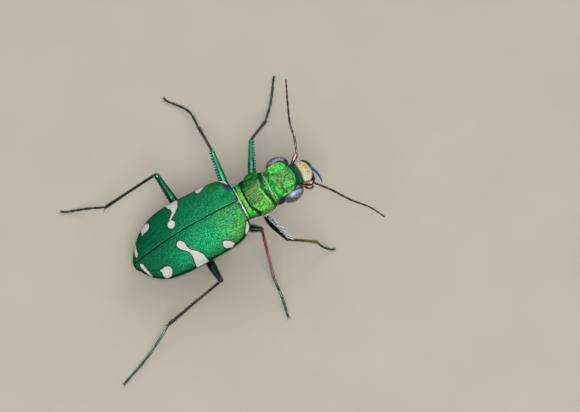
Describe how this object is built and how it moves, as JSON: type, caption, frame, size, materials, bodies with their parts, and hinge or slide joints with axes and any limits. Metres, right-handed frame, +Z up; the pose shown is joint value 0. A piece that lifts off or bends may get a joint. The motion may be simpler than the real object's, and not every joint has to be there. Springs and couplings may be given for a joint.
{
  "type": "tiger beetle",
  "caption": "Still, life-size model of a green tiger beetle with cream spots, standing on its legs with the feelers spread.",
  "frame": {"origin": "on the ground, below the middle of the beetle's box", "axes": "+X from the tail towards the head, +Y to the beetle's left, +Z up"},
  "size_m": [0.0202, 0.0188, 0.0061],
  "materials": {
    "shell_green": "satin metallic green shell with a fine grain, bluer at the edges, and cream spots with thin brown rims",
    "golden_green": "wrinkled metallic green with gold and copper glints, dark blue-green in the grooves",
    "dark_blue": "polished dark blue to purple shell",
    "thorax_green": "polished blue-green shell with copper on the sides and white hairs",
    "eye_grey": "glossy grey-brown eye with fine facets, mottled bluish",
    "ivory": "satin ivory plate with small brown pits",
    "jaw_dark": "polished near-black with a blue glint",
    "leg_green": "polished metallic emerald with dark edges and rows of white bristles",
    "bronze": "polished dark bronze with copper glints"
  },
  "bodies": {
    "root": {"elytron_left": "shell_green", "elytron_right": "shell_green", "pronotum": "golden_green", "head": "golden_green", "scutellum": "golden_green", "clypeus": "dark_blue", "abdomen": "dark_blue", "abdomen_tip": "dark_blue", "mesothorax": "thorax_green", "metathorax": "thorax_green", "eye_left": "eye_grey", "eye_right": "eye_grey", "labrum": "ivory", "mandible_left": "jaw_dark", "mandible_right": "jaw_dark", "maxillary_palp_left": "jaw_dark", "maxillary_palp_right": "jaw_dark", "labial_palp_left": "jaw_dark", "labial_palp_right": "jaw_dark", "coxa_front_left": "leg_green", "trochanter_front_left": "leg_green", "femur_front_left": "leg_green", "tarsus_front_left": "leg_green", "coxa_front_right": "leg_green", "trochanter_front_right": "leg_green", "femur_front_right": "leg_green", "tarsus_front_right": "leg_green", "coxa_middle_left": "leg_green", "trochanter_middle_left": "leg_green", "femur_middle_left": "leg_green", "tarsus_middle_left": "leg_green", "coxa_middle_right": "leg_green", "trochanter_middle_right": "leg_green", "femur_middle_right": "leg_green", "tarsus_middle_right": "leg_green", "coxa_hind_left": "leg_green", "trochanter_hind_left": "leg_green", "femur_hind_left": "leg_green", "tarsus_hind_left": "leg_green", "coxa_hind_right": "leg_green", "trochanter_hind_right": "leg_green", "femur_hind_right": "leg_green", "tarsus_hind_right": "leg_green", "scape_left": "bronze", "scape_right": "bronze", "antenna_left": "bronze", "antenna_right": "bronze", "tibia_front_left": "bronze", "tibia_front_right": "bronze", "tibia_middle_left": "bronze", "tibia_middle_right": "bronze", "tibia_hind_left": "bronze", "tibia_hind_right": "bronze"}
  },
  "joints": []
}
